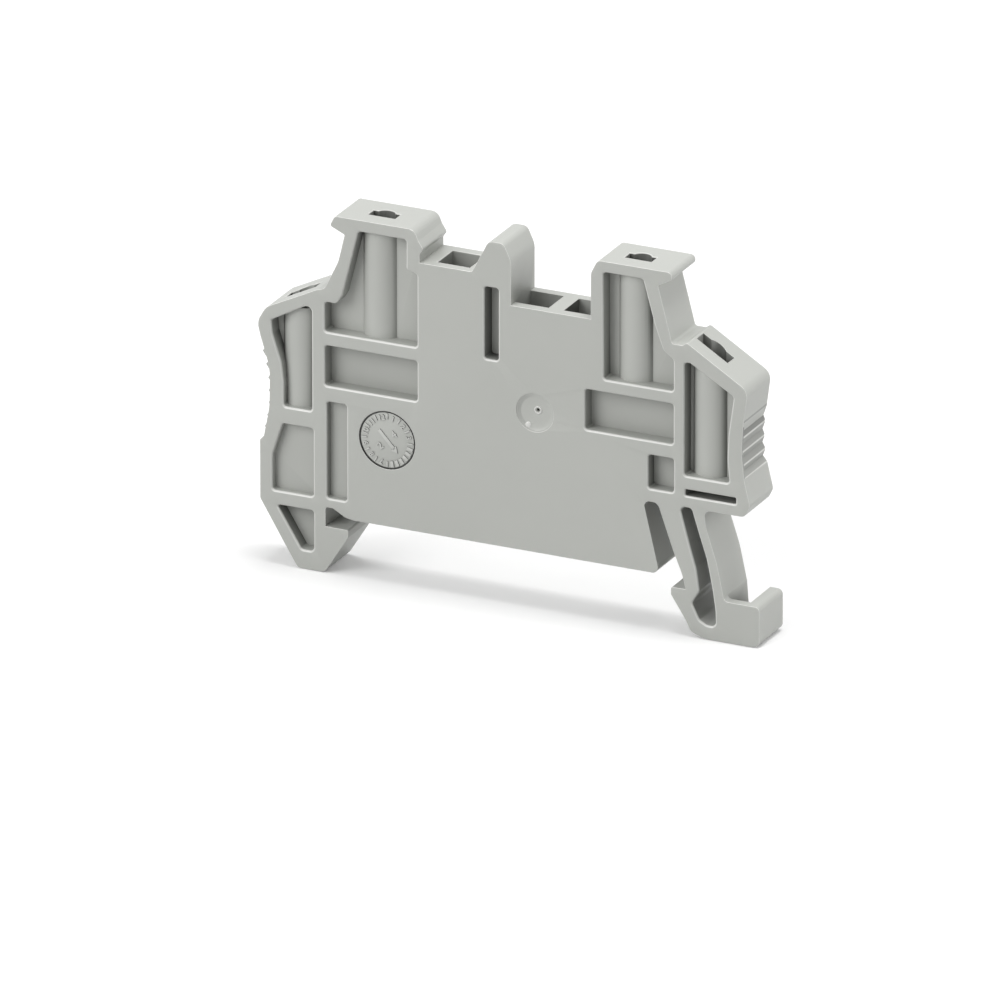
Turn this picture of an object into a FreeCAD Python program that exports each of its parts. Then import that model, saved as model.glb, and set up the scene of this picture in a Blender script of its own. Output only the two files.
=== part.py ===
import FreeCAD, Part
import Sketcher
import math
import os

doc = FreeCAD.newDocument("end_stop_part")

# Sizes in millimetres
# X runs across the rail, Z runs away from the rail, the front face looks to -Y.
# The zero point is the middle of the rail top, halfway through the thickness.
rows = [
    ("thickness", 5.15, "overall thickness along the rail"),
    ("rail_half", 17.5, "half width of the 35 mm top hat rail"),
    ("flange", 1.0, "rail flange thickness"),
    ("flange_play", 0.05, "play under each rail flange"),
    ("edge_play", 0.38, "play between rail edge and latch leg"),
    ("hook_play", 1.0, "tilt room between rail edge and fixed hook wall"),
    ("edge_round", 0.3, "smooth rims in front of and behind the ridges"),
    ("body_left", -25.15, "straight part of the left side"),
    ("foot_depth", 5.6, "feet reach this far below the rail top"),
    ("foot_left", -21.35, "left foot outer corner"),
    ("foot_right", -18.6, "left foot inner corner"),
    ("nose_left", -16.2, "tip of the fixed hook"),
    ("nose_right", 16.4, "tip of the latch claw"),
    ("nose_height", 0.75, "height of both hook tips"),
    ("hook_right", 25.3, "outer face of the release hook"),
    ("hook_top", -1.6, "rim of the release hook"),
    ("plate_left", -15.6, "left end of the seat on the rail"),
    ("plate_right", 15.25, "right end of the seat on the rail"),
    ("leg_top", 6.95, "upper end of both leg slots"),
    ("block_bottom", 7.0, "underside of the right grip block"),
    ("block_right", 23.9, "right corner of the grip block"),
    ("block_top", 19.35, "height of the right corner"),
    ("valley", 22.75, "valley beside the right tower"),
    ("tower_top", 29.65, "top of both towers"),
    ("lip_drop", 1.45, "underside of the tower lips below the top"),
    ("right_tower_l", 8.3, "right tower inner side"),
    ("right_tower_r", 16.5, "right tower lip"),
    ("left_tower_l", -18.0, "left tower lip"),
    ("left_tower_r", -8.93, "left tower inner side"),
    ("shelf_top", 26.44, "shelf between left tower and fin"),
    ("recess_floor", 23.8, "floor of the recess right of the fin"),
    ("fin_left", -3.65, "foot of the fin on the shelf"),
    ("fin_right", 0.28, "upright side of the fin"),
    ("pocket_deep", 1.5, "depth of the large coring pockets"),
    ("pocket_mid", 1.35, "depth of the small square pocket"),
    ("pocket_low", 0.85, "depth of the shallow pockets"),
    ("pocket_round", 0.28, "corner rounding in the pockets"),
    ("outer_wall", 1.25, "side walls around the pockets"),
    ("boss_radius", 2.0, "radius of the four marker posts"),
    ("post_tower_l", -13.6, "left tower post"),
    ("post_tower_r", 12.2, "right tower post"),
    ("post_side_l", -21.7, "left shoulder post"),
    ("post_side_r", 19.65, "right shoulder post"),
    ("post_side_l_top", 19.75, "upper end of the left shoulder post"),
    ("post_side_r_top", 20.7, "upper end of the right shoulder post"),
    ("marker_w", 2.7, "tower marker opening along X"),
    ("marker_front", 0.775, "tower marker opening in front of the middle"),
    ("marker_back", 0.425, "tower marker opening behind the middle"),
    ("marker_side_w", 3.1, "shoulder marker opening along X"),
    ("marker_side_front", 0.85, "shoulder marker opening in front of the middle"),
    ("marker_side_back", 0.6, "shoulder marker opening behind the middle"),
    ("marker_bore", 0.95, "radius of the marker bore"),
    ("marker_deep", 8.0, "depth of the tower marker openings"),
    ("marker_side_end", 12.0, "bottom of the shoulder marker openings"),
    ("shaft_wall", 0.95, "wall around the parking shafts"),
    ("shaft_end", 18.1, "bottom of the parking shafts"),
    ("shaft_a_l", -7.54, "first shaft, left side"),
    ("shaft_a_r", -4.3, "first shaft, right side"),
    ("shaft_b_r", 3.65, "second shaft, right side"),
    ("shaft_c_l", 5.18, "third shaft, left side"),
    ("row_bottom", 18.1, "lower edge of the tower pockets"),
    ("row_top", 28.45, "upper edge of the tower pockets"),
    ("bar_top", 16.75, "upper edge of the bar pockets"),
    ("bar_bottom", 12.8, "lower edge of the bar pockets"),
    ("inner_left", -9.2, "inner side of the left pockets"),
    ("rib_left", -18.55, "left pockets start beside the upright rib"),
    ("rib_right", 16.58, "right pockets end beside the upright rib"),
    ("side_l_right", -19.88, "inner side of the left shoulder pocket"),
    ("side_r_left", 17.68, "inner side of the right shoulder pocket"),
    ("side_bottom", 10.05, "lower edge of the shoulder pockets"),
    ("wall_notch", 0.9, "front wall of the release hook"),
    ("stamp_x", -12.23, "date disc centre"),
    ("stamp_z", 8.48, "date disc centre"),
    ("stamp_radius", 2.85, "date disc radius"),
    ("stamp_depth", 0.18, "date disc depth"),
    ("gate_x", 2.7, "gate dish centre"),
    ("gate_z", 13.7, "gate dish centre"),
    ("gate_radius", 1.88, "gate dish radius"),
    ("gate_depth", 0.24, "gate dish depth"),
    ("pin_radius", 0.16, "gate mark radius"),
    ("ridge", 0.24, "height of the left grip ridges"),
    ("groove", 0.3, "depth of the right grip grooves"),
    ("groove_rim", 0.28, "smooth rim in front of the grip grooves"),
]

sheet = doc.addObject("Spreadsheet::Sheet", "Sizes")
for number, (alias, value, note) in enumerate(rows, start=1):
    sheet.set("A%d" % number, alias)
    sheet.set("B%d" % number, str(value))
    sheet.set("C%d" % number, note)
    sheet.setAlias("B%d" % number, alias)
doc.recompute()


class Term:
    # A length with the sheet expression that drives it
    def __init__(self, value, text):
        self.value = float(value)
        self.text = text

    def __add__(self, other):
        other = term(other)
        return Term(self.value + other.value, "%s + %s" % (self.text, other.text))

    def __sub__(self, other):
        other = term(other)
        return Term(self.value - other.value, "%s - (%s)" % (self.text, other.text))

    def __neg__(self):
        return Term(-self.value, "-(%s)" % self.text)

    def __mul__(self, factor):
        return Term(self.value * factor, "(%s) * %s" % (self.text, factor))


def term(item):
    if isinstance(item, Term):
        return item
    return Term(item, "(%s)" % item)


class Sizes:
    def __init__(self, table):
        for alias, value, note in table:
            setattr(self, alias, Term(value, "Sizes." + alias))


s = Sizes(rows)
body = doc.addObject("PartDesign::Body", "end_stop")
body.Label = "end_stop"


def origin_part(role):
    for item in body.Origin.OriginFeatures:
        if item.Role == role:
            return item
    raise RuntimeError(role)


def new_sketch(name, role, shift=(0, 0, 0)):
    sketch = body.newObject("Sketcher::SketchObject", name)
    sketch.AttachmentSupport = [(origin_part(role), "")]
    sketch.MapMode = "FlatFace"
    for axis, item in zip("xyz", shift):
        item = term(item)
        if item.value or "Sizes" in item.text:
            sketch.setExpression(".AttachmentOffset.Base." + axis, item.text)
    return sketch


def bind(sketch, made):
    # Adds the constraints and ties every named one to its sheet expression
    first = sketch.ConstraintCount
    sketch.addConstraint([item for item, drive in made])
    for offset, (item, drive) in enumerate(made):
        if drive is not None:
            sketch.setExpression("Constraints[%d]" % (first + offset), drive)


def outline(sketch, corners):
    # Closed wire through the given corners, each (x, y) or (x, y, rounding)
    spots = []
    for corner in corners:
        rounding = term(corner[2]) if len(corner) > 2 else None
        spots.append((term(corner[0]), term(corner[1]), rounding))
    count = len(spots)
    points = [FreeCAD.Vector(x.value, y.value, 0) for x, y, rounding in spots]
    starts = []
    ends = []
    arcs = []
    for index in range(count):
        here = points[index]
        before = points[index - 1] - here
        after = points[(index + 1) % count] - here
        rounding = spots[index][2]
        if rounding is None:
            ends.append(here)
            starts.append(here)
            arcs.append(None)
            continue
        turn = math.pi - before.getAngle(after)
        reach = rounding.value * math.tan(turn / 2)
        before.normalize()
        after.normalize()
        inside = before + after
        inside.normalize()
        middle = here + inside * (rounding.value / math.cos(turn / 2))
        nearest = here + inside * (rounding.value / math.cos(turn / 2) - rounding.value)
        ends.append(here + before * reach)
        starts.append(here + after * reach)
        arcs.append(Part.Arc(ends[-1], nearest, starts[-1]))
    geometry = []
    line_ids = []
    base = sketch.GeometryCount
    for index in range(count):
        line_ids.append(base + len(geometry))
        geometry.append(Part.LineSegment(starts[index], ends[(index + 1) % count]))
    arc_ids = []
    for index in range(count):
        arc_ids.append(None)
        if arcs[index] is not None:
            arc_ids[index] = base + len(geometry)
            geometry.append(arcs[index])
    sketch.addGeometry(geometry, False)
    marks = {}
    for index in range(count):
        if arcs[index] is not None:
            marks[index] = sketch.addGeometry(Part.Point(points[index]), True)
    made = []
    for index in range(count):
        x, y, rounding = spots[index]
        into = line_ids[index - 1]
        out = line_ids[index]
        if rounding is None:
            made.append((Sketcher.Constraint("Coincident", into, 2, out, 1), None))
            spot = (out, 1)
        else:
            arc = arc_ids[index]
            flipped = sketch.getPoint(arc, 1).distanceToPoint(ends[index]) > 1e-5
            first, last = (2, 1) if flipped else (1, 2)
            made.append((Sketcher.Constraint("Tangent", into, 2, arc, first), None))
            made.append((Sketcher.Constraint("Tangent", arc, last, out, 1), None))
            made.append((Sketcher.Constraint("Radius", arc, rounding.value), rounding.text))
            spot = (marks[index], 1)
            made.append((Sketcher.Constraint("PointOnObject", marks[index], 1, into), None))
            made.append((Sketcher.Constraint("PointOnObject", marks[index], 1, out), None))
        made.append((Sketcher.Constraint("DistanceX", -1, 1, spot[0], spot[1], x.value), x.text))
        made.append((Sketcher.Constraint("DistanceY", -1, 1, spot[0], spot[1], y.value), y.text))
    bind(sketch, made)


def box_outline(sketch, left, bottom, right, top, rounding=None):
    corners = [(left, bottom), (right, bottom), (right, top), (left, top)]
    if rounding is not None:
        corners = [(x, y, rounding) for x, y in corners]
    outline(sketch, corners)


def ring(sketch, x, y, radius):
    x = term(x)
    y = term(y)
    radius = term(radius)
    spot = FreeCAD.Vector(x.value, y.value, 0)
    circle = sketch.addGeometry(Part.Circle(spot, FreeCAD.Vector(0, 0, 1), radius.value), False)
    bind(sketch, [
        (Sketcher.Constraint("DistanceX", -1, 1, circle, 3, x.value), x.text),
        (Sketcher.Constraint("DistanceY", -1, 1, circle, 3, y.value), y.text),
        (Sketcher.Constraint("Radius", circle, radius.value), radius.text),
    ])


def pad(sketch, name, length, middle=False):
    feature = body.newObject("PartDesign::Pad", name)
    feature.Profile = sketch
    length = term(length)
    feature.Length = length.value
    feature.setExpression("Length", length.text)
    if middle:
        feature.SideType = "Symmetric"
    sketch.Visibility = False
    return feature


def pocket(sketch, name, depth, turned=False, both=False):
    feature = body.newObject("PartDesign::Pocket", name)
    feature.Profile = sketch
    depth = term(depth)
    feature.Length = depth.value
    feature.setExpression("Length", depth.text)
    feature.Reversed = turned
    if both:
        feature.SideType = "Symmetric"
    sketch.Visibility = False
    return feature


front = s.thickness * 0.5
ledge = -(s.flange + s.flange_play)
hook_wall = -(s.rail_half + s.hook_play)
leg_wall = s.rail_half + s.edge_play
foot = -s.foot_depth
nose_low = ledge - s.nose_height

# Points where the regions of the side profile meet
slot_left = s.plate_right - 1.67
slot_right = s.plate_right - 0.2
slot_middle = s.plate_right - 0.98
step = (s.body_left + 0.4, 6.85)
block_seam = 21.5

# Plate on the rail, left side down to the foot and the fixed hook
lower = new_sketch("LowerSketch", "XZ_Plane")
outline(lower, [
    step,
    (s.body_left, 6.4, 0.15),
    (s.body_left, 0.65, 0.6),
    (s.foot_left, foot, 0.6),
    (s.foot_right, foot, 0.8),
    (s.nose_left, nose_low, 0.25),
    (s.nose_left, ledge, 0.2),
    (hook_wall, ledge),
    (hook_wall, 0.85, 0.25),
    (hook_wall + 0.75, 0.85, 0.5),
    (hook_wall + 2.0, 0.14, 1.0),
    (s.plate_left, 0, 0.4),
    (s.plate_right, 0, 0.6),
    (slot_left, s.leg_top, 0.5),
    (slot_middle, s.leg_top),
    (slot_middle, 9.0),
    (-22.0, 9.0),
])
pad(lower, "Lower", s.thickness, middle=True)

# Spring leg with the latch claw and the release hook
leg = new_sketch("LegSketch", "XZ_Plane")
outline(leg, [
    (slot_middle, s.leg_top),
    (slot_right, s.leg_top, 0.7),
    (leg_wall - 1.28, 2.6, 6),
    (leg_wall - 0.38, 0.4, 2),
    (leg_wall, ledge),
    (s.nose_right, ledge, 0.2),
    (s.nose_right, nose_low, 0.25),
    (leg_wall - 0.03, -4.0, 2.5),
    (leg_wall + 0.55, -5.15, 0.8),
    (leg_wall + 1.9, foot, 1.5),
    (s.hook_right, foot, 0.7),
    (s.hook_right, s.hook_top, 0.5),
    (21.75, s.hook_top, 0.55),
    (21.48, -0.3, 3),
    (20.95, 2.1, 8),
    (19.9, 5.3, 3),
    (19.7, s.block_bottom, 0.55),
    (block_seam, s.block_bottom),
    (block_seam, 9.5),
    (slot_middle, 9.5),
])
pad(leg, "Leg", s.thickness, middle=True)

# Right grip block, shoulder and tower
right = new_sketch("RightSketch", "XZ_Plane")
outline(right, [
    (block_seam, s.block_bottom),
    (s.block_right - 0.15, s.block_bottom, 0.6),
    (s.block_right + 0.4, s.block_bottom + 1.1, 0.8),
    (s.block_right - 0.2, 10.6, 2),
    (s.block_right - 0.47, 13.2, 7),
    (s.block_right - 0.3, 16.0, 7),
    (s.block_right + 0.15, s.block_top, 1.2),
    (17.95, s.valley + 0.32, 0.3),
    (17.5, s.valley, 0.3),
    (16.45, s.valley, 0.3),
    (15.02, s.tower_top - s.lip_drop, 0.12),
    (s.right_tower_r - 0.1, s.tower_top - s.lip_drop + 0.72, 0.3),
    (s.right_tower_r, s.tower_top, 0.48),
    (s.right_tower_l + 0.68, s.tower_top, 0.6),
    (s.right_tower_l, s.tower_top - 1.35, 1.2),
    (s.right_tower_l, s.recess_floor),
    (s.right_tower_l, 8.5),
    (block_seam, 8.5),
])
pad(right, "Right", s.thickness, middle=True)

# Middle with the recess, the fin and the shelf
middle = new_sketch("MiddleSketch", "XZ_Plane")
outline(middle, [
    (s.right_tower_l, s.recess_floor),
    (s.fin_right, s.recess_floor),
    (s.fin_right, s.tower_top - 1.55, 2.0),
    (s.fin_right - 0.76, s.tower_top + 0.05, 0.65),
    (s.fin_right - 2.25, s.tower_top + 0.05, 0.7),
    (s.fin_left, s.shelf_top, 0.3),
    (s.left_tower_r, s.shelf_top),
    (s.left_tower_r, 8.5),
    (s.right_tower_l, 8.5),
])
pad(middle, "Middle", s.thickness, middle=True)

# Left tower, shoulder and grip flank
left = new_sketch("LeftSketch", "XZ_Plane")
outline(left, [
    (s.left_tower_r, s.shelf_top),
    (s.left_tower_r, s.shelf_top + 0.83, 0.12),
    (s.left_tower_r + 0.36, s.shelf_top + 1.36, 0.25),
    (s.left_tower_r - 0.14, s.tower_top - 1.1, 0.4),
    (s.left_tower_r - 0.55, s.tower_top - 0.05, 0.9),
    (s.left_tower_l + 0.5, s.tower_top - 0.05, 0.4),
    (s.left_tower_l, s.tower_top - 1.05, 0.25),
    (-16.5, s.tower_top - 1.72, 0.15),
    (-17.15, 25.2, 4),
    (-18.55, 22.3, 0.8),
    (-19.3, 22.1, 0.5),
    (-24.5, 19.55, 1.6),
    (s.body_left - 0.25, 18.0, 1.6),
    (s.body_left + 0.1, 16.6, 2),
    (s.body_left + 1.02, 13.6, 6),
    (s.body_left + 0.97, 9.8, 6),
    step,
    (-22.0, 8.5),
    (s.left_tower_r, 8.5),
])
pad(left, "Left", s.thickness, middle=True)
body.Tip = doc.getObject("Left")
doc.recompute()

# Long slot in the spring leg and the thin slot above it
leg_slot = new_sketch("LegSlotSketch", "XZ_Plane")
outline(leg_slot, [
    (17.25, s.leg_top, 0.4),
    (18.2, 3.5, 8),
    (18.95, 1.0, 5),
    (19.25, -1.05, 0.5),
    (18.5, -2.3, 0.5),
    (19.25, -3.85, 0.8),
    (20.0, -4.25, 0.8),
    (20.88, -4.25, 0.45),
    (20.82, -2.6, 4),
    (20.45, -0.2, 5),
    (19.95, 2.2, 8),
    (19.25, 4.3, 8),
    (18.4, s.leg_top, 0.4),
])
pocket(leg_slot, "LegSlot", s.thickness * 2, both=True)
thin_slot = new_sketch("ThinSlotSketch", "XZ_Plane")
box_outline(thin_slot, 17.8, s.block_bottom + 1.12, 22.87, s.block_bottom + 1.72, 0.12)
pocket(thin_slot, "ThinSlot", s.thickness * 2, both=True)

# Coring pockets, cut from the front and mirrored to the back
pockets = []


def core(name, depth, corners):
    sketch = new_sketch(name + "Sketch", "XZ_Plane", (0, 0, front))
    outline(sketch, corners)
    pockets.append(pocket(sketch, name, depth))


r = s.pocket_round
core("TowerLeftCore", s.pocket_deep, [
    (s.inner_left, s.row_bottom, r),
    (s.inner_left, 25.2, r),
    (s.inner_left - 1.1, 25.55, r),
    (s.inner_left - 1.1, s.row_top, r),
    (-15.12, s.row_top, r),
    (-16.75, 21.95, 0.6),
    (-17.35, 21.0, 0.5),
    (s.rib_left, 21.0, r),
    (s.rib_left, s.row_bottom, r),
])
core("BarLeftCore", s.pocket_deep, [
    (s.rib_left, s.bar_bottom, r),
    (s.inner_left, s.bar_bottom, r),
    (s.inner_left, s.bar_top, r),
    (s.rib_left, s.bar_top, r),
])
core("ShoulderLeftCore", s.pocket_deep, [
    (s.side_l_right, s.side_bottom, r),
    (s.side_l_right, 20.35, 0.5),
    (-20.6, 20.2, 0.5),
    (-23.98, 18.35, r),
    (-23.85, 17.0, 1.5),
    (-22.95, 14.3, 3),
    (-22.72, 12.4, 3),
    (-22.72, s.side_bottom, r),
])
core("TowerRightCore", s.pocket_deep, [
    (9.6, s.row_bottom, r),
    (s.rib_right, s.row_bottom, r),
    (s.rib_right, 21.15, 0.5),
    (15.55, 21.9, 0.8),
    (14.7, 24.2, 1.5),
    (13.5, s.row_top + 0.1, 0.4),
    (9.52, s.row_top + 0.1, r),
])
core("BarRightCore", s.pocket_deep, [
    (7.72, s.bar_bottom + 0.1, r),
    (s.rib_right, s.bar_bottom + 0.1, r),
    (s.rib_right, s.bar_top + 0.1, r),
    (7.72, s.bar_top + 0.1, r),
])
core("ShoulderRightCore", s.pocket_deep, [
    (s.side_r_left, s.side_bottom, r),
    (22.2, s.side_bottom, r),
    (21.98, 12.3, 3),
    (22.08, 14.8, 3),
    (22.6, 18.55, 0.4),
    (18.25, 21.1, 0.3),
    (s.side_r_left, 21.1, 0.3),
])
core("SquareCore", s.pocket_mid, [
    (14.08, 8.2, r),
    (s.rib_right + 0.05, 8.2, r),
    (s.rib_right + 0.05, 11.5, r),
    (14.08, 11.5, r),
])
core("FootCore", s.pocket_mid, [
    (-23.42, 0.25, 0.15),
    (-20.95, -3.75, 0.4),
    (-19.72, -3.75, 0.4),
    (-19.72, 0.25, r),
])
core("TallCore", s.pocket_low, [
    (s.rib_left + 0.2, 1.75, r),
    (-16.35, 1.75, r),
    (-16.35, 11.25, r),
    (s.rib_left + 0.2, 11.25, r),
])
core("SideCore", s.pocket_low, [
    (s.body_left + s.outer_wall, 1.65, r),
    (-19.74, 1.65, r),
    (-19.74, 8.35, r),
    (-22.85, 8.35, r),
    (s.body_left + s.outer_wall, 5.1, 0.5),
])
core("FinSlot", s.pocket_deep + 0.15, [
    (-2.4, 18.15, r),
    (-1.0, 18.15, r),
    (-1.0, 25.2, r),
    (-2.4, 25.2, r),
])
mirrored = body.newObject("PartDesign::Mirrored", "BackPockets")
mirrored.Originals = pockets
mirrored.MirrorPlane = (origin_part("XZ_Plane"), [""])
body.Tip = mirrored
doc.recompute()

# Posts that carry the marker openings
low_posts = [
    ("TowerPosts", s.row_bottom - 0.4, s.row_top + 0.4, (s.post_tower_l, s.post_tower_r)),
    ("LeftPost", s.side_bottom - 0.4, s.post_side_l_top, (s.post_side_l,)),
    ("RightPost", s.side_bottom - 0.4, s.post_side_r_top, (s.post_side_r,)),
]
for name, low, high, places in low_posts:
    sketch = new_sketch(name + "Sketch", "XY_Plane", (0, 0, low))
    for place in places:
        ring(sketch, place, 0, s.boss_radius)
    pad(sketch, name, high - low)

# Openings for marker strips in the towers and shoulders, each with a round bore
openings = [
    ("TowerMarker", s.tower_top, s.tower_top - s.marker_deep, s.marker_w * 0.5, s.marker_front, s.marker_back,
     (s.post_tower_l, s.post_tower_r)),
    ("SideMarker", s.valley + 1.0, s.marker_side_end, s.marker_side_w * 0.5, s.marker_side_front,
     s.marker_side_back, (s.post_side_l - 0.15, s.post_side_r + 0.05)),
]
for name, high, low, half, ahead, behind, places in openings:
    sketch = new_sketch(name + "Sketch", "XY_Plane", (0, 0, high))
    for place in places:
        box_outline(sketch, place - half, -ahead, place + half, behind)
    pocket(sketch, name, high - low)
    sketch = new_sketch(name + "BoreSketch", "XY_Plane", (0, 0, high))
    for place in places:
        ring(sketch, place, 0, s.marker_bore)
    pocket(sketch, name + "Bore", high - low)

# Parking shafts beside the fin
inside = front - s.shaft_wall
shaft_a = new_sketch("ShaftShelfSketch", "XY_Plane", (0, 0, s.shelf_top))
box_outline(shaft_a, s.shaft_a_l, -inside, s.shaft_a_r, inside)
pocket(shaft_a, "ShaftShelf", s.shelf_top - s.shaft_end)
shaft_b = new_sketch("ShaftRecessSketch", "XY_Plane", (0, 0, s.recess_floor))
box_outline(shaft_b, s.fin_right, -inside, s.shaft_b_r, inside)
box_outline(shaft_b, s.shaft_c_l, -inside, s.right_tower_l, inside)
pocket(shaft_b, "ShaftRecess", s.recess_floor - s.shaft_end)

# Screwdriver notch in the release hook, open to the back
notch = new_sketch("NotchSketch", "XZ_Plane", (0, 0, -front))
outline(notch, [
    (21.66, -0.7),
    (21.88, -3.5, 0.2),
    (22.2, -3.95, 0.2),
    (24.05, s.hook_top + 0.02),
    (24.05, -0.7),
])
pocket(notch, "Notch", s.thickness - s.wall_notch, turned=True)

# Pointed grip ridges on the left flank, and saw-tooth grooves behind a smooth rim on the right one
ridges = new_sketch("RidgeSketch", "XZ_Plane")
for x, z in ((0.43, 15.1), (0.77, 13.85), (0.97, 12.55), (1.01, 11.3), (0.99, 10.1), (0.83, 8.85), (0.59, 7.7)):
    foot_x = s.body_left + x
    outline(ridges, [
        (foot_x - s.ridge, z),
        (foot_x + 0.12, z - 0.55),
        (foot_x + 0.12, z + 0.55),
    ])
pad(ridges, "Ridges", s.thickness - s.edge_round * 2, middle=True)
grooves = new_sketch("GrooveSketch", "XZ_Plane", (0, 0, -front))
tooth = s.block_right - 0.4
outline(grooves, [
    (s.block_right + 1.5, 16.1),
    (tooth + 0.12, 16.1),
    (tooth + 0.1 - s.groove, 15.15),
    (tooth, 14.6),
    (tooth - s.groove, 13.8),
    (tooth - 0.05, 13.2),
    (tooth - s.groove, 12.5),
    (tooth + 0.03, 11.9),
    (tooth + 0.05 - s.groove, 11.2),
    (tooth + 0.2, 10.65),
    (s.block_right + 1.5, 10.65),
])
pocket(grooves, "Grooves", s.thickness - s.groove_rim, turned=True)

# Date disc and gate dish on the front face
stamp = new_sketch("StampSketch", "XZ_Plane", (0, 0, front))
ring(stamp, s.stamp_x, s.stamp_z, s.stamp_radius)
pocket(stamp, "Stamp", s.stamp_depth)
dish = new_sketch("DishSketch", "XY_Plane", (s.gate_x, -front, s.gate_z))
outline(dish, [
    (0, -0.3),
    (s.gate_radius, -0.3),
    (s.gate_radius, 0),
    (s.gate_radius * 0.85, s.gate_depth * 0.7, 1.0),
    (0, s.gate_depth),
])
dish_cut = body.newObject("PartDesign::Groove", "Dish")
dish_cut.Profile = dish
dish_cut.ReferenceAxis = (dish, ["V_Axis"])
dish_cut.Angle = 360
dish.Visibility = False
pin = new_sketch("PinSketch", "XZ_Plane", (0, 0, front))
ring(pin, s.gate_x + 0.25, s.gate_z + 0.25, s.pin_radius)
pocket(pin, "PinMark", 0.6)
body.Tip = doc.getObject("PinMark")
doc.recompute()

for item in doc.Objects:
    if "Invalid" in item.State or "Error" in item.State:
        raise RuntimeError("%s did not compute" % item.Name)
if body.Shape.isNull() or not body.Shape.isValid() or len(body.Shape.Solids) != 1:
    raise RuntimeError("the moulding is not one valid solid")

os.makedirs("parts", exist_ok=True)
body.Shape.exportStep("parts/end_stop.step")
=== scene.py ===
import bmesh
import bpy
import math
from mathutils import Vector, Matrix
from mathutils.bvhtree import BVHTree


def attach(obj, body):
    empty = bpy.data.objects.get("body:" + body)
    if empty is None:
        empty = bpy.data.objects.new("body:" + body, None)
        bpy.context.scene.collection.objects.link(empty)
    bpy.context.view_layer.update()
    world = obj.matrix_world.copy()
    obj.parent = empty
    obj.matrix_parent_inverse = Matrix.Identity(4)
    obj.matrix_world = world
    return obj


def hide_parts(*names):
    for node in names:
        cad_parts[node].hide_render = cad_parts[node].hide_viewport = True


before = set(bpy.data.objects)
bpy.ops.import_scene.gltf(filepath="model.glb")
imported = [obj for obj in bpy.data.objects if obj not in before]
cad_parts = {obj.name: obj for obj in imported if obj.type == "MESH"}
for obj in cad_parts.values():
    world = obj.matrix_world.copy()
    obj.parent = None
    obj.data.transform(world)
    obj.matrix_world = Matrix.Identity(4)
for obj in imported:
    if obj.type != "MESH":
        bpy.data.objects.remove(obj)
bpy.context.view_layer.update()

mm = 0.001
goldenAngle = 2.39996  # radians


def clearSelection():
    if bpy.context.object and bpy.context.object.mode != "OBJECT":
        bpy.ops.object.mode_set(mode="OBJECT")
    bpy.ops.object.select_all(action="DESELECT")


def makeActive(piece):
    clearSelection()
    piece.select_set(True)
    bpy.context.view_layer.objects.active = piece


def settle(piece):
    # the place goes into the mesh, so the object sits unturned at the origin
    makeActive(piece)
    bpy.ops.object.transform_apply(location=True, rotation=True, scale=True)


def smoothBy(piece, degrees):
    makeActive(piece)
    bpy.ops.object.shade_smooth_by_angle(angle=math.radians(degrees))


def bevelAll(width):
    # rounds every edge of the active piece
    bpy.ops.object.mode_set(mode="EDIT")
    bpy.ops.mesh.select_all(action="SELECT")
    bpy.ops.mesh.bevel(offset=width, segments=2, affect="EDGES")
    bpy.ops.object.mode_set(mode="OBJECT")


def plug(links, source, socket):
    # a socket is linked, a plain value is set
    if isinstance(source, bpy.types.NodeSocket):
        links.new(source, socket)
    else:
        socket.default_value = source


def addColorMix(nodes, links, first, second, factor):
    node = nodes.new("ShaderNodeMix")
    node.data_type = "RGBA"
    plug(links, first, node.inputs["A"])
    plug(links, second, node.inputs["B"])
    plug(links, factor, node.inputs["Factor"])
    return node.outputs["Result"]


def addMath(nodes, links, operation, *sources):
    node = nodes.new("ShaderNodeMath")
    node.operation = operation
    for socket, source in zip(node.inputs, sources):
        plug(links, source, socket)
    return node.outputs[0]


def addRange(nodes, links, source, taken, given):
    node = nodes.new("ShaderNodeMapRange")
    links.new(source, node.inputs["Value"])
    for name, value in zip(("From Min", "From Max", "To Min", "To Max"), taken + given):
        node.inputs[name].default_value = value
    return node.outputs["Result"]


def addAttribute(nodes, name):
    node = nodes.new("ShaderNodeAttribute")
    node.attribute_name = name
    return node.outputs["Fac"]


plastic = {
    "color": (0.505, 0.515, 0.485, 1.0),
    "shade": (0.465, 0.475, 0.447, 1.0),  # in the slow clouds
    # painted shade colour for the hollows, painted highlight colour for the rims
    "hollowShadeColor": (0.06, 0.061, 0.056, 1.0),
    "rimHighlightColor": (0.8, 0.8, 0.775, 1.0),
    "rimShare": (0.54, 0.9),  # least and most painted highlight on the rims
    "highlightClouds": (0.25, 0.7),
    "roughness": (0.35, 0.46),
    "rimGloss": 0.18,
    "refraction": 1.5,
    "grainSize": 5200.0,
    "grainDetail": 3.0,
    "grainRoughness": 0.6,
    "grainStrength": 0.09,
    "grainHeight": 0.04 * mm,
    "cloudSize": 90.0,
    "cloudDetail": 4.0,
}


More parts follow.
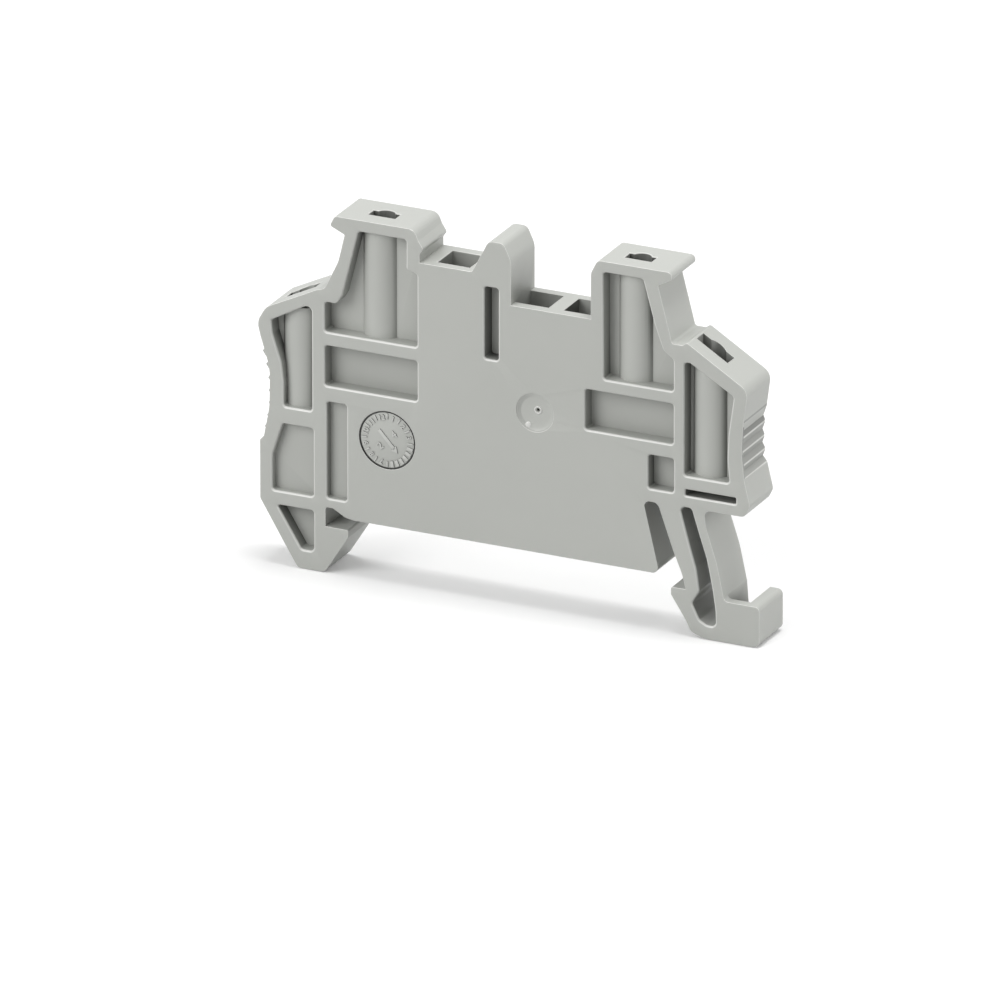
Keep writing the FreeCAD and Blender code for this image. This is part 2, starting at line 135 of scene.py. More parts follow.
def buildGrainGroup(settings):
    # fine spark eroded grain with slow clouds in tone and gloss
    group = bpy.data.node_groups.new("mouldGrain", "ShaderNodeTree")
    face = group.interface
    face.new_socket(name="Grain Size", in_out="INPUT", socket_type="NodeSocketFloat")
    face.new_socket(name="Cloud Size", in_out="INPUT", socket_type="NodeSocketFloat")
    face.new_socket(name="Height", in_out="OUTPUT", socket_type="NodeSocketFloat")
    face.new_socket(name="Cloud", in_out="OUTPUT", socket_type="NodeSocketFloat")
    nodes = group.nodes
    links = group.links
    into = nodes.new("NodeGroupInput")
    out = nodes.new("NodeGroupOutput")
    place = nodes.new("ShaderNodeTexCoord")
    grain = nodes.new("ShaderNodeTexNoise")
    grain.inputs["Detail"].default_value = settings["grainDetail"]
    grain.inputs["Roughness"].default_value = settings["grainRoughness"]
    cloud = nodes.new("ShaderNodeTexNoise")
    cloud.inputs["Detail"].default_value = settings["cloudDetail"]
    links.new(place.outputs["Object"], grain.inputs["Vector"])
    links.new(place.outputs["Object"], cloud.inputs["Vector"])
    links.new(into.outputs["Grain Size"], grain.inputs["Scale"])
    links.new(into.outputs["Cloud Size"], cloud.inputs["Scale"])
    links.new(grain.outputs["Fac"], out.inputs["Height"])
    links.new(cloud.outputs["Fac"], out.inputs["Cloud"])
    return group


def buildPlastic(name, settings, group):
    made = bpy.data.materials.new(name)
    made.use_nodes = True
    nodes = made.node_tree.nodes
    links = made.node_tree.links
    shader = nodes["Principled BSDF"]
    shader.inputs["Metallic"].default_value = 0.0
    shader.inputs["IOR"].default_value = settings["refraction"]
    grain = nodes.new("ShaderNodeGroup")
    grain.node_tree = group
    grain.inputs["Grain Size"].default_value = settings["grainSize"]
    grain.inputs["Cloud Size"].default_value = settings["cloudSize"]
    cloud = grain.outputs["Cloud"]
    tone = addColorMix(nodes, links, settings["shade"], settings["color"], cloud)
    # painted shade: pockets, openings and other hollows are drawn darker, where little light reaches
    paintedShade = addAttribute(nodes, "paintedShade")
    shadedTone = addColorMix(nodes, links, tone, settings["hollowShadeColor"], paintedShade)
    # painted highlight: rims are drawn lighter, and made glossier, less so in some clouds
    highlightShare = addRange(nodes, links, cloud, settings["highlightClouds"], settings["rimShare"])
    paintedHighlight = addMath(nodes, links, "MULTIPLY", addAttribute(nodes, "rim"), highlightShare)
    links.new(addColorMix(nodes, links, shadedTone, settings["rimHighlightColor"], paintedHighlight), shader.inputs["Base Color"])
    gloss = addRange(nodes, links, cloud, (0.0, 1.0), settings["roughness"])
    smoother = addMath(nodes, links, "MULTIPLY_ADD", paintedHighlight, -settings["rimGloss"], gloss)
    links.new(smoother, shader.inputs["Roughness"])
    bump = nodes.new("ShaderNodeBump")
    bump.inputs["Strength"].default_value = settings["grainStrength"]
    bump.inputs["Distance"].default_value = settings["grainHeight"]
    links.new(grain.outputs["Height"], bump.inputs["Height"])
    links.new(bump.outputs["Normal"], shader.inputs["Normal"])
    return made


grainGroup = buildGrainGroup(plastic)
housingPlastic = buildPlastic("housingPlastic", plastic, grainGroup)
print("materials made")

moulding = {
    "faceY": 2.575 * mm,  # front and back face lie this far from the middle
    "mergeWithin": 0.002 * mm,
    "smoothAngle": 34,
    # rims of the two faces and of the openings
    "rimRadius": 0.205 * mm,
    "holeRadius": 0.1 * mm,
    "slightRadius": 0.045 * mm,
    "slightPlaces": [(-12.23 * mm, 8.48 * mm, 3.0 * mm),  # x, z and reach: date disc, gate dish
                     (2.7 * mm, 13.7 * mm, 2.1 * mm)],
    "tightRadius": 0.028 * mm,
    "tightFromX": 18.5 * mm,
    "outlineWithin": 0.05 * mm,
    "rimSteps": 4,
    "sharpestCorner": 2.2,
    "leastSpread": 0.05,
    "tops": [((0, 0, 1), 29.65 * mm), ((0, 0, 1), 29.6 * mm), ((0, 0, 1), 26.44 * mm),
             ((0, 0, 1), 23.8 * mm), ((-0.44, 0, 0.898), 28.34 * mm), ((0.521, 0, 0.854), 29.04 * mm)],
    "topWithin": 0.03 * mm,
    "patchFacing": 0.9995,
    # how strong the painted highlight on the rims is, most on rims that face the light
    "bestLit": (-0.42, 0, 0.9),
    "middleHighlight": 0.5,
    "highlightSpread": 0.8,
    "leastHighlight": 0.25,
    "outlineHighlight": 0.78,
    # marker bores: x of the middle, and how far forward the opening reaches
    "bores": [(-13.6 * mm, 0.775 * mm), (12.2 * mm, 0.775 * mm),
              (-21.85 * mm, 0.85 * mm), (19.7 * mm, 0.85 * mm)],
    "boreRadius": 0.95 * mm,
    "boreWithin": 0.03 * mm,
    # right grip
    "gripFromX": 21.0 * mm,
    "gripFacing": 0.3,
    "gripCrests": (10.66 * mm, 11.9 * mm, 13.2 * mm, 14.6 * mm),
    "crestWithin": 0.05 * mm,
    "crestLength": 4 * mm,
    "crestSlant": 0.02 * mm,
    "crestAngle": 15,
    "crestWidth": 0.12 * mm,
    "crestProfile": 0.6,
    "crestEnds": 0.5,
    "grooveLevels": (16.14 * mm, 16.36 * mm),
    "grooveTurned": 0.1,
    "bandTurned": 0.2,
    "bandLeast": 0.02 * mm * mm,
    # painted shade in bands on the grip
    "gripBands": [(10.72 * mm, 11.8 * mm, 0.27), (11.96 * mm, 13.1 * mm, 0.38),  # z from, z to, share
                  (13.26 * mm, 14.5 * mm, 0.38), (14.66 * mm, 15.16 * mm, 0.6),
                  (16.14 * mm, 16.36 * mm, 0.42)],
    # how dark the painted shade in the hollows is
    "hollowRays": 14,
    "hollowReach": 5 * mm,
    "hollowLift": 0.01 * mm,
    "hollowInset": 0.2,
    "hollowFrom": 0.25,
    "hollowPower": 1.5,
    "alikeFacing": 0.85,
    "sideFacing": 0.7,
    "wallShare": 1.35,
    "floorShare": 0.4,
    "ledgeShare": 0.55,
    "ledgeFacing": 0.6,
    "openingShare": 2.2,
    "openings": [(-15.0 * mm, -12.2 * mm), (10.8 * mm, 13.6 * mm),  # x from, x to
                 (-23.5 * mm, -20.2 * mm), (18.1 * mm, 21.3 * mm)],
    "openingHalf": 1.05 * mm,
    "openingsFromZ": 18.2 * mm,
    "slots": [(17.6 * mm, 23.6 * mm, 7.7 * mm, 9.2 * mm, 2.2),  # x from and to, z from and to, floor share
              (-2.6 * mm, -0.7 * mm, 17.9 * mm, 25.6 * mm, 0.0)],
    "slotHalf": 2.2 * mm,
    "creviceAt": (-20.6 * mm, 20.3 * mm, 1.2 * mm),
    "creviceShare": 0.3,
    # painted shade in the front recesses: the left side of the dish's rim and the ring round the date disc
    "recessY": (-2.57 * mm, -2 * mm),
    "dish": (2.7 * mm, 13.7 * mm, 1.5 * mm, 1.95 * mm),
    "dishShare": 0.2,
    "stamp": (-12.23 * mm, 8.48 * mm, 2.86 * mm),
    "stampFrontY": -2.53 * mm,
}


def skinLoops(skin):
    # ordered rims of a flat patch, each running with the patch on its left
    inside = set(skin)
    following = {}
    for face in skin:
        for corner in face.loops:
            if not any(other in inside for other in corner.edge.link_faces if other is not face):
                following[corner.vert] = corner.link_loop_next.vert
    loops = []
    while following:
        first = next(iter(following))
        loop = [first]
        step = following.pop(first)
        while step is not first:
            loop.append(step)
            step = following.pop(step)
        loops.append(loop)
    return loops


def inwardSteps(loop, normal, settings):
    # for each corner the mitred direction that keeps the rim parallel to itself
    moves = []
    count = len(loop)
    sharpest = settings["sharpestCorner"]
    for index, vert in enumerate(loop):
        before = (vert.co - loop[index - 1].co).normalized()
        after = (loop[(index + 1) % count].co - vert.co).normalized()
        first = normal.cross(before)
        second = normal.cross(after)
        mitre = (first + second) / max(1 + first.dot(second), settings["leastSpread"])
        if mitre.length > sharpest:
            mitre = mitre.normalized() * sharpest
        moves.append(mitre)
    return moves


def rimHighlights(moves, isOutline, settings):
    # painted highlight: rims that face up or to the left, toward the light, are lightest, and a pocket's rim
    # less than the outline
    best = Vector(settings["bestLit"]).normalized()
    least = settings["outlineHighlight"] if isOutline else settings["leastHighlight"]
    highlights = []
    for move in moves:
        facing = -move.normalized().dot(best) if move.length > 0 else 0
        share = min(1, max(0, settings["middleHighlight"] + facing * settings["highlightSpread"]))
        highlights.append(least + (1 - least) * share)
    return highlights


def topRadius(middle, loop, settings):
    # only the openings in a top are rounded; its outline follows with the two faces
    reach = max(abs(vert.co.y) for vert in loop)
    if reach > settings["faceY"] - settings["outlineWithin"]:
        return 0
    # the right shoulder's opening starts a hair from the slope's edge
    return settings["tightRadius"] if middle.x > settings["tightFromX"] else settings["holeRadius"]


def sideRadius(middle, loop, settings):
    for x, z, reach in settings["slightPlaces"]:
        if math.hypot(middle.x - x, middle.z - z) < reach:
            return settings["slightRadius"]
    return settings["rimRadius"]


def findPatch(form, normal, level, settings):
    return [face for face in form.faces if face.normal.dot(normal) > settings["patchFacing"]
            and all(abs(vert.co.dot(normal) - level) < settings["topWithin"] for vert in face.verts)]


def roundRims(form, skin, normal, radiusOf, settings):
    # the flat patch comes off, its rims step inwards as a quarter round, and a new patch closes them
    loops = skinLoops(skin)
    rim = form.verts.layers.float["rim"]
    bmesh.ops.delete(form, geom=skin, context="FACES")
    closing = []
    steps = settings["rimSteps"]
    outline = max(loops, key=lambda loop: max(vert.co.x for vert in loop) - min(vert.co.x for vert in loop))
    for loop in loops:
        middle = sum((vert.co for vert in loop), Vector()) / len(loop)
        radius = radiusOf(middle, loop, settings)
        moves = inwardSteps(loop, normal, settings)
        starts = [vert.co.copy() for vert in loop]
        highlights = rimHighlights(moves, loop is outline, settings)
        ring = loop
        if radius > 0:
            for vert in loop:
                vert.co -= normal * radius
            for step in range(1, steps + 1):
                angle = math.radians(90) * step / steps
                inset = radius * (1 - math.cos(angle))
                drop = radius * (1 - math.sin(angle))
                made = [form.verts.new(start + move * inset - normal * drop)
                        for start, move in zip(starts, moves)]
                # the rounded rim's inner rings carry the painted highlight
                if step < steps:
                    for vert, paintedHighlight in zip(made, highlights):
                        vert[rim] = paintedHighlight
                for index in range(len(ring)):
                    form.faces.new((ring[index - 1], ring[index], made[index], made[index - 1]))
                ring = made
        for index in range(len(ring)):
            edge = form.edges.get((ring[index - 1], ring[index]))
            closing.append(edge or form.edges.new((ring[index - 1], ring[index])))
    bmesh.ops.triangle_fill(form, edges=closing, normal=normal, use_beauty=True, use_dissolve=False)


def flattenBores(form, settings):
    # the openings have a straight front edge, so each bore is cut off level with it
    for place, front in settings["bores"]:
        for vert in form.verts:
            out = math.hypot(vert.co.x - place, vert.co.y)
            if abs(out - settings["boreRadius"]) < settings["boreWithin"] and vert.co.y < -front:
                vert.co.y = -front


def isOnGrip(face, mostTurned, settings):
    # on the right flank, and turned to the front or back no more than this
    return (face.normal.x > settings["gripFacing"] and abs(face.normal.y) < mostTurned
            and face.calc_center_median().x > settings["gripFromX"])


def isCrest(edge, settings):
    first, second = edge.verts
    return (first.co.x > settings["gripFromX"]
            and abs(first.co.y - second.co.y) > settings["crestLength"]
            and abs(first.co.z - second.co.z) < settings["crestSlant"]
            and edge.is_convex
            and any(abs(first.co.z - level) < settings["crestWithin"] for level in settings["gripCrests"])
            and edge.calc_face_angle(0) > math.radians(settings["crestAngle"]))


def shapeGrip(form, settings):
    # the crests of the grip are rounded over and given a painted highlight
    rim = form.verts.layers.float["rim"]
    crests = [edge for edge in form.edges if isCrest(edge, settings)]
    made = bmesh.ops.bevel(form, geom=crests, offset=settings["crestWidth"], segments=2,
                           profile=settings["crestProfile"], affect="EDGES")
    form.normal_update()
    strips = set(made["faces"])
    for vert in made["verts"]:
        if all(face in strips or abs(face.normal.y) > settings["crestEnds"] for face in vert.link_faces):
            vert[rim] = 1.0
    # two cuts bound the band of painted shade above the crests
    for level in settings["grooveLevels"]:
        faces = [face for face in form.faces if isOnGrip(face, settings["grooveTurned"], settings)]
        edges = list(dict.fromkeys(edge for face in faces for edge in face.edges))
        bmesh.ops.bisect_plane(form, geom=faces + edges, plane_co=(0, 0, level), plane_no=(0, 0, 1))
    form.normal_update()
    print("grip crests", len(crests))


def outwardRays(count):
    # evenly spread over the half space above a face
    rays = []
    for index in range(count):
        turn = index * goldenAngle
        out = math.sqrt((index + 0.5) / count)
        rays.append((out * math.cos(turn), out * math.sin(turn), math.sqrt(1 - out * out)))
    return rays


def hollowShare(middle, normal, settings):
    # how much of the painted shade a place takes
    creviceX, creviceZ, reach = settings["creviceAt"]
    if math.hypot(middle.x - creviceX, middle.z - creviceZ) < reach:
        return settings["creviceShare"]
    isFloor = abs(normal.y) > settings["sideFacing"]
    for low, high, under, over, slotFloor in settings["slots"]:
        if low < middle.x < high and under < middle.z < over and abs(middle.y) < settings["slotHalf"]:
            return slotFloor if isFloor else settings["openingShare"]
    if middle.z > settings["openingsFromZ"] and abs(normal.z) < settings["sideFacing"]:
        for low, high in settings["openings"]:
            if low < middle.x < high and abs(middle.y) < settings["openingHalf"]:
                return settings["openingShare"]
    if normal.z > settings["ledgeFacing"]:
        return settings["ledgeShare"]
    return settings["floorShare"] if isFloor else settings["wallShare"]


def markedShare(face, settings):
    # places given painted shade of their own: dark grip bands, the left side of the dish, the ring round the
    # date disc
    middle = face.calc_center_median()
    share = None
    if isOnGrip(face, settings["bandTurned"], settings) and face.calc_area() > settings["bandLeast"]:
        for low, high, band in settings["gripBands"]:
            if low < middle.z < high:
                share = band
    front, behind = settings["recessY"]
    if front < middle.y < behind:
        dishX, dishZ, least, most = settings["dish"]
        out = math.hypot(middle.x - dishX, middle.z - dishZ)
        if least < out < most:
            share = settings["dishShare"] * max(0, (dishX - middle.x) / out)
        stampX, stampZ, reach = settings["stamp"]
        out = math.hypot(middle.x - stampX, middle.z - stampZ)
        if out < reach and middle.y > settings["stampFrontY"]:
            share = 1.0
    return share


def paintHollowShade(piece, settings):
    # painted shade: how far each corner of each face looks into the moulding itself, kept as an attribute that
    # darkens the colour
    form = bmesh.new()
    form.from_mesh(piece.data)
    tree = BVHTree.FromBMesh(form)
    paintedShade = form.loops.layers.float.new("paintedShade")
    rays = outwardRays(settings["hollowRays"])
    for face in form.faces:
        normal = face.normal
        side = normal.orthogonal().normalized()
        across = normal.cross(side)
        middle = face.calc_center_median()
        for corner in face.loops:
            start = corner.vert.co.lerp(middle, settings["hollowInset"]) + normal * settings["hollowLift"]
            met = 0
            for x, y, z in rays:
                way = side * x + across * y + normal * z
                if tree.ray_cast(start, way, settings["hollowReach"])[0]:
                    met += 1
            seen = max(0, met / len(rays) - settings["hollowFrom"])
            seen = (seen / (1 - settings["hollowFrom"])) ** settings["hollowPower"]
            corner[paintedShade] = min(1, hollowShare(middle, normal, settings) * seen)
    # corners that meet on one smooth surface share one value, so no streak runs along a face
    evened = {}
    for vert in form.verts:
        for corner in vert.link_loops:
            alike = [other[paintedShade] for other in vert.link_loops if other is corner
                     or other.face.normal.dot(corner.face.normal) > settings["alikeFacing"]]
            evened[corner] = sum(alike) / len(alike)
    for corner, value in evened.items():
        corner[paintedShade] = value
    for face in form.faces:
        share = markedShare(face, settings)
        if share is not None:
            for corner in face.loops:
                corner[paintedShade] = share
    form.to_mesh(piece.data)
    form.free()


def buildMoulding(settings):
    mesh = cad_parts["end_stop"].data.copy()
    piece = bpy.data.objects.new("moulding", mesh)
    bpy.context.scene.collection.objects.link(piece)
    makeActive(piece)
    bpy.ops.mesh.customdata_custom_splitnormals_clear()
    form = bmesh.new()
    form.from_mesh(mesh)
    bmesh.ops.remove_doubles(form, verts=form.verts, dist=settings["mergeWithin"])
    form.verts.layers.float.new("rim")
    form.normal_update()
    flattenBores(form, settings)
    shapeGrip(form, settings)
    for facing, level in settings["tops"]:
        skin = findPatch(form, Vector(facing).normalized(), level, settings)
        normal = max(skin, key=lambda face: face.calc_area()).normal.copy()
        roundRims(form, skin, normal, topRadius, settings)
        form.normal_update()
    for side in (-1, 1):
        normal = Vector((0, side, 0))
        skin = findPatch(form, normal, settings["faceY"], settings)
        roundRims(form, skin, normal, sideRadius, settings)
        form.normal_update()
    bmesh.ops.recalc_face_normals(form, faces=form.faces)
    for face in form.faces:
        face.smooth = True
    for edge in form.edges:
        edge.smooth = edge.calc_face_angle(0) < math.radians(settings["smoothAngle"])
    form.to_mesh(mesh)
    form.free()
    makeActive(piece)
    even = piece.modifiers.new("even", "WEIGHTED_NORMAL")
    even.keep_sharp = True
    bpy.ops.object.modifier_apply(modifier="even")
    paintHollowShade(piece, settings)
    mesh.materials.clear()
    mesh.materials.append(housingPlastic)
    return piece


mouldingPiece = buildMoulding(moulding)
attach(mouldingPiece, "root")
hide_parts("end_stop")
print("moulding made", len(mouldingPiece.data.polygons), "faces")

dateDisc = {
    "centre": (-12.23 * mm, 8.48 * mm),
    "floorY": -(2.575 - 0.18) * mm,
    "plateRadius": 2.69 * mm,
    "plateHeight": 0.09 * mm,
    "plateRound": 0.025 * mm,
    "height": 0.085 * mm,  # of the marks
    "wholeShare": 1.2,  # a mark's full depth, with its foot in the plate, for a height of 1
    "middleShare": 0.4,  # its middle's way out of the plate
    "barRound": (0.16, 0.4),  # most, as shares of width and height
    "headRound": 0.35,
    "tickInner": 2.05 * mm,
    "tickOuter": 2.62 * mm,
    "tickWidth": 0.15 * mm,
    "digitRadius": 2.22 * mm,
    "digitSize": 0.72 * mm,
    "digitWeight": 0.018 * mm,
    "weldWithin": 0.0005 * mm,
    "monthTurn": 30,
    "toothedArc": (95, 175),
    "toothTurns": (103, 116, 129, 142, 155, 168),
    "toothWidth": 0.33 * mm,
    "toothLength": 1.1,
    "arrowHalf": 1.15 * mm,
    "arrowWidth": 0.34 * mm,
    "arrowShift": 0.1 * mm,
    "arrowTurn": -43,
    "arrowHead": 0.42 * mm,
    "yearRadius": 0.95 * mm,
    "yearSize": 1.35,
    "smoothAngle": 30,
    "frontFacing": -0.8,
    "frontHighlight": 0.35,
}


def discPlace(settings, turn, out):
    # a place on the plate: out from its centre at the given turn from the top
    angle = math.radians(turn)
    return (settings["centre"][0] + out * math.sin(angle), settings["floorY"] - settings["plateHeight"],
            settings["centre"][1] + out * math.cos(angle))


def markPlace(settings, place):
    # the middle of a mark that stands on the plate here
    return (place[0], place[1] - settings["height"] * settings["middleShare"], place[2])


def paintSides(piece, fronts, sides):
    # painted highlight and painted shade of the faces that look forward, then of all others
    mesh = piece.data
    rim = mesh.attributes.new("rim", "FLOAT", "CORNER")
    paintedShade = mesh.attributes.new("paintedShade", "FLOAT", "CORNER")
    for face in mesh.polygons:
        paintedHighlight, shadeShare = fronts if face.normal.y < dateDisc["frontFacing"] else sides
        for corner in face.loop_indices:
            rim.data[corner].value = paintedHighlight
            paintedShade.data[corner].value = shadeShare


def addPlate(settings):
    clearSelection()
    deep = settings["plateHeight"] * settings["wholeShare"]
    middleY = settings["floorY"] - settings["plateHeight"] + deep / 2
    bpy.ops.mesh.primitive_cylinder_add(vertices=96, radius=settings["plateRadius"], depth=deep,
                                        location=(settings["centre"][0], middleY, settings["centre"][1]),
                                        rotation=(math.radians(90), 0, 0))
    plate = bpy.context.object
    settle(plate)
    bevelAll(settings["plateRound"])
    return plate


def addBar(settings, place, turn, width, length):
    clearSelection()
    height = settings["height"]
    bpy.ops.mesh.primitive_cube_add(size=1.0, location=markPlace(settings, place),
                                    rotation=(0, math.radians(turn), 0),
                                    scale=(width, height * settings["wholeShare"], length))
    bar = bpy.context.object
    settle(bar)
    ofWidth, ofHeight = settings["barRound"]
    bevelAll(min(width * ofWidth, height * ofHeight))
    return bar


def addHead(settings, place, turn, size):
    # the first corner of the three sided cylinder points up before it is turned
    clearSelection()
    height = settings["height"]
    bpy.ops.mesh.primitive_cylinder_add(vertices=3, radius=size, depth=height * settings["wholeShare"],
                                        location=markPlace(settings, place),
                                        rotation=(math.radians(90), 0, 0))
    head = bpy.context.object
    settle(head)
    bpy.ops.object.mode_set(mode="EDIT")
    bpy.ops.mesh.select_all(action="SELECT")
    bpy.ops.transform.rotate(value=-math.radians(turn), orient_axis="Y", center_override=place)
    bpy.ops.object.mode_set(mode="OBJECT")
    bevelAll(height * settings["headRound"])
    return head


def addDigits(settings, words, place, turn, size):
    clearSelection()
    bpy.ops.object.text_add(location=markPlace(settings, place),
                            rotation=(math.radians(90), math.radians(turn), 0))
    made = bpy.context.object
    made.data.body = words
    made.data.size = size
    made.data.extrude = settings["height"] * settings["wholeShare"] / 2
    made.data.offset = settings["digitWeight"]
    made.data.align_x = "CENTER"
    made.data.align_y = "CENTER"
    made.data.resolution_u = 3
    bpy.ops.object.convert(target="MESH")
    settle(made)
    bpy.ops.object.mode_set(mode="EDIT")
    bpy.ops.mesh.select_all(action="SELECT")
    bpy.ops.mesh.remove_doubles(threshold=settings["weldWithin"])
    bpy.ops.object.mode_set(mode="OBJECT")
    return made


def joinAll(pieces, name):
    clearSelection()
    for piece in pieces:
        piece.select_set(True)
    bpy.context.view_layer.objects.active = pieces[0]
    bpy.ops.object.join()
    piece = bpy.context.object
    piece.name = name
    settle(piece)
    smoothBy(piece, dateDisc["smoothAngle"])
    piece.data.materials.clear()
    piece.data.materials.append(housingPlastic)
    return piece


def buildDateMarks(settings):
    marks = []
    middle = (settings["tickInner"] + settings["tickOuter"]) / 2
    length = settings["tickOuter"] - settings["tickInner"]
    arcFrom, arcTo = settings["toothedArc"]
    for month in range(12):
        turn = month * settings["monthTurn"]
        if not arcFrom < turn < arcTo:
            marks.append(addBar(settings, discPlace(settings, turn, middle), turn,
                                settings["tickWidth"], length))
        turn += settings["monthTurn"] / 2
        if not arcFrom < turn < arcTo:
            marks.append(addDigits(settings, str(month + 1), discPlace(settings, turn, settings["digitRadius"]),
                                   turn, settings["digitSize"]))
    for turn in settings["toothTurns"]:
        marks.append(addBar(settings, discPlace(settings, turn, middle), turn,
                            settings["toothWidth"], length * settings["toothLength"]))
    turn = settings["arrowTurn"]
    marks.append(addBar(settings, discPlace(settings, turn, settings["arrowShift"]), turn,
                        settings["arrowWidth"], settings["arrowHalf"] * 2))
    marks.append(addHead(settings, discPlace(settings, turn + 180, settings["arrowHalf"]), turn + 180,
                         settings["arrowHead"]))
    for side, word in ((-1, "2"), (1, "4")):
        place = discPlace(settings, turn + 90 * side, settings["yearRadius"])
        marks.append(addDigits(settings, word, place, turn, settings["digitSize"] * settings["yearSize"]))
    marks = joinAll(marks, "dateMarks")
    # painted highlight on the raised fronts, painted shade on the steep sides
    paintSides(marks, (settings["frontHighlight"], 0.0), (0.0, 1.0))
    return marks


def buildDatePlate(settings):
    plate = joinAll([addPlate(settings)], "datePlate")
    # painted shade on the plate's sides
    paintSides(plate, (0.0, 0.0), (0.0, 1.0))
    return plate


datePlate = buildDatePlate(dateDisc)
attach(datePlate, "root")
dateMarks = buildDateMarks(dateDisc)
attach(dateMarks, "root")
print("date disc made")

gate = {
    "ringPlace": (2.95 * mm, -2.365 * mm, 13.95 * mm),
    "ringRadius": 0.31 * mm,
    "ringWidth": 0.085 * mm,
    "nubPlace": (1.93 * mm, -2.4 * mm, 12.32 * mm),
    "nubSize": (0.29 * mm, 0.11 * mm, 0.38 * mm),
    "nubTurn": 35,
}


def buildGateRing(settings):
    # lip left round the ejector pin, and the drop of plastic where the gate broke off
    clearSelection()
    bpy.ops.mesh.primitive_torus_add(location=settings["ringPlace"], rotation=(math.radians(90), 0, 0),
                                     major_radius=settings["ringRadius"], minor_radius=settings["ringWidth"],
                                     major_segments=40, minor_segments=12)
    ring = bpy.context.object
    settle(ring)
    clearSelection()
    bpy.ops.mesh.primitive_uv_sphere_add(segments=24, ring_count=12, radius=1, location=settings["nubPlace"],
                                         rotation=(0, math.radians(settings["nubTurn"]), 0),
                                         scale=settings["nubSize"])
    nub = bpy.context.object
    settle(nub)
    piece = joinAll([ring, nub], "gateRing")
    # painted highlight over the whole ring and drop
    paintSides(piece, (1.0, 0.0), (1.0, 0.0))
    return piece


gateRing = buildGateRing(gate)
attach(gateRing, "root")
print("gate dish made")

studio = {
    "floorZ": -5.65 * mm,
    "floorSize": 3.0,
    "floorLift": 0.12,
    "floorColor": (0.48, 0.48, 0.48, 1),  # for the light that the floor throws back
    "floorSeen": (0.9, 0.9, 0.9, 1),
    "white": (1, 1, 1, 1),
    "ambient": 0.38,
    "lamps": [("keyLight", (-0.42, -0.66, 0.5), 4.9, 0.7),  # name, place, power, size
              ("topLight", (0.1, 0.05, 0.9), 4.6, 0.5),
              ("sideLight", (0.75, 0.14, 0.3), 1.75, 0.4)],
    "lampsAim": (0, 0, 12 * mm),
    "azimuth": 25.2,
    "elevation": 21.7,
    "distance": 2.5,
    "clip": (0.1, 20),
    "sensorWidth": 36,
    "imageSize": 1000,
    "pixelsPerMillimetre": 10.93,
    "originPixel": (520.0, 538.2),
}


def cameraOnly(nodes, links):
    # 1 for what the camera sees directly, in gloss or through glass
    path = nodes.new("ShaderNodeLightPath")
    direct = addMath(nodes, links, "MAXIMUM", path.outputs["Is Camera Ray"], path.outputs["Is Glossy Ray"])
    return addMath(nodes, links, "MAXIMUM", direct, path.outputs["Is Transmission Ray"])


def buildFloor(settings):
    clearSelection()
    bpy.ops.mesh.primitive_plane_add(size=settings["floorSize"], location=(0, 0, settings["floorZ"]))
    floor = bpy.context.object
    floor.name = "floor"
    made = bpy.data.materials.new("paleFloor")
    made.use_nodes = True
    nodes = made.node_tree.nodes
    links = made.node_tree.links
    nodes.clear()
    out = nodes.new("ShaderNodeOutputMaterial")
    seen = cameraOnly(nodes, links)
    diffuse = nodes.new("ShaderNodeBsdfDiffuse")
    pale = addColorMix(nodes, links, settings["floorColor"], settings["floorSeen"], seen)
    links.new(pale, diffuse.inputs["Color"])
    glow = nodes.new("ShaderNodeEmission")
    links.new(addMath(nodes, links, "MULTIPLY", seen, settings["floorLift"]), glow.inputs["Strength"])
    both = nodes.new("ShaderNodeAddShader")
    links.new(diffuse.outputs[0], both.inputs[0])
    links.new(glow.outputs[0], both.inputs[1])
    links.new(both.outputs[0], out.inputs["Surface"])
    floor.data.materials.append(made)


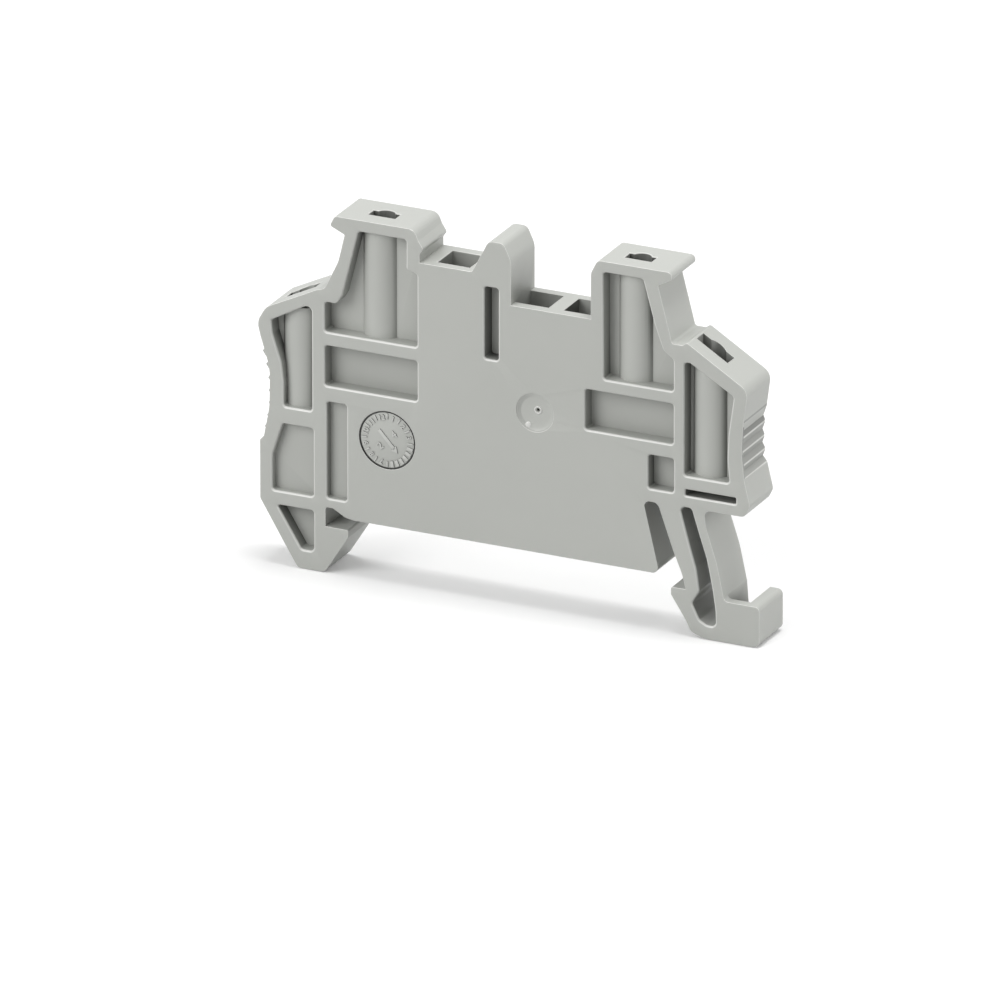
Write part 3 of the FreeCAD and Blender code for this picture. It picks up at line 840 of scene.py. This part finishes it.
def buildWorld(settings):
    # soft light on the part, plain white behind it
    world = bpy.data.worlds.new("studioWorld")
    bpy.context.scene.world = world
    world.use_nodes = True
    nodes = world.node_tree.nodes
    links = world.node_tree.links
    nodes.clear()
    out = nodes.new("ShaderNodeOutputWorld")
    mix = nodes.new("ShaderNodeMixShader")
    links.new(cameraOnly(nodes, links), mix.inputs["Fac"])
    for socket, strength in ((mix.inputs[1], settings["ambient"]), (mix.inputs[2], 1.0)):
        light = nodes.new("ShaderNodeBackground")
        light.inputs["Color"].default_value = settings["white"]
        light.inputs["Strength"].default_value = strength
        links.new(light.outputs[0], socket)
    links.new(mix.outputs[0], out.inputs["Surface"])


def addLamp(name, place, power, size, aim):
    data = bpy.data.lights.new(name, "AREA")
    data.energy = power
    data.shape = "DISK"
    data.size = size
    lamp = bpy.data.objects.new(name, data)
    bpy.context.scene.collection.objects.link(lamp)
    lamp.location = place
    lamp.rotation_euler = (Vector(aim) - Vector(place)).to_track_quat("-Z", "Y").to_euler()


def buildCamera(settings):
    # a long lens whose picture has the part's zero point at originPixel
    azimuth = math.radians(settings["azimuth"])
    elevation = math.radians(settings["elevation"])
    back = Vector((math.sin(azimuth) * math.cos(elevation), -math.cos(azimuth) * math.cos(elevation),
                   math.sin(elevation)))
    right = Vector((math.cos(azimuth), math.sin(azimuth), 0))
    up = back.cross(right)
    scale = settings["pixelsPerMillimetre"]
    half = settings["imageSize"] / 2
    aside = (half - settings["originPixel"][0]) / scale * mm
    above = (settings["originPixel"][1] - half) / scale * mm
    aim = right * aside + up * above
    data = bpy.data.cameras.new("photoCamera")
    data.sensor_width = settings["sensorWidth"]
    data.lens = settings["sensorWidth"] * scale * settings["distance"] / mm / settings["imageSize"]
    data.clip_start, data.clip_end = settings["clip"]
    camera = bpy.data.objects.new("photoCamera", data)
    bpy.context.scene.collection.objects.link(camera)
    camera.location = aim + back * settings["distance"]
    turned = Matrix((right, up, back)).transposed()
    camera.rotation_euler = turned.to_euler()
    bpy.context.scene.camera = camera


buildFloor(studio)
buildWorld(studio)
for name, place, power, size in studio["lamps"]:
    addLamp(name, place, power, size, studio["lampsAim"])
buildCamera(studio)
bpy.context.scene.view_settings.view_transform = "Standard"
clearSelection()
print("stage made")
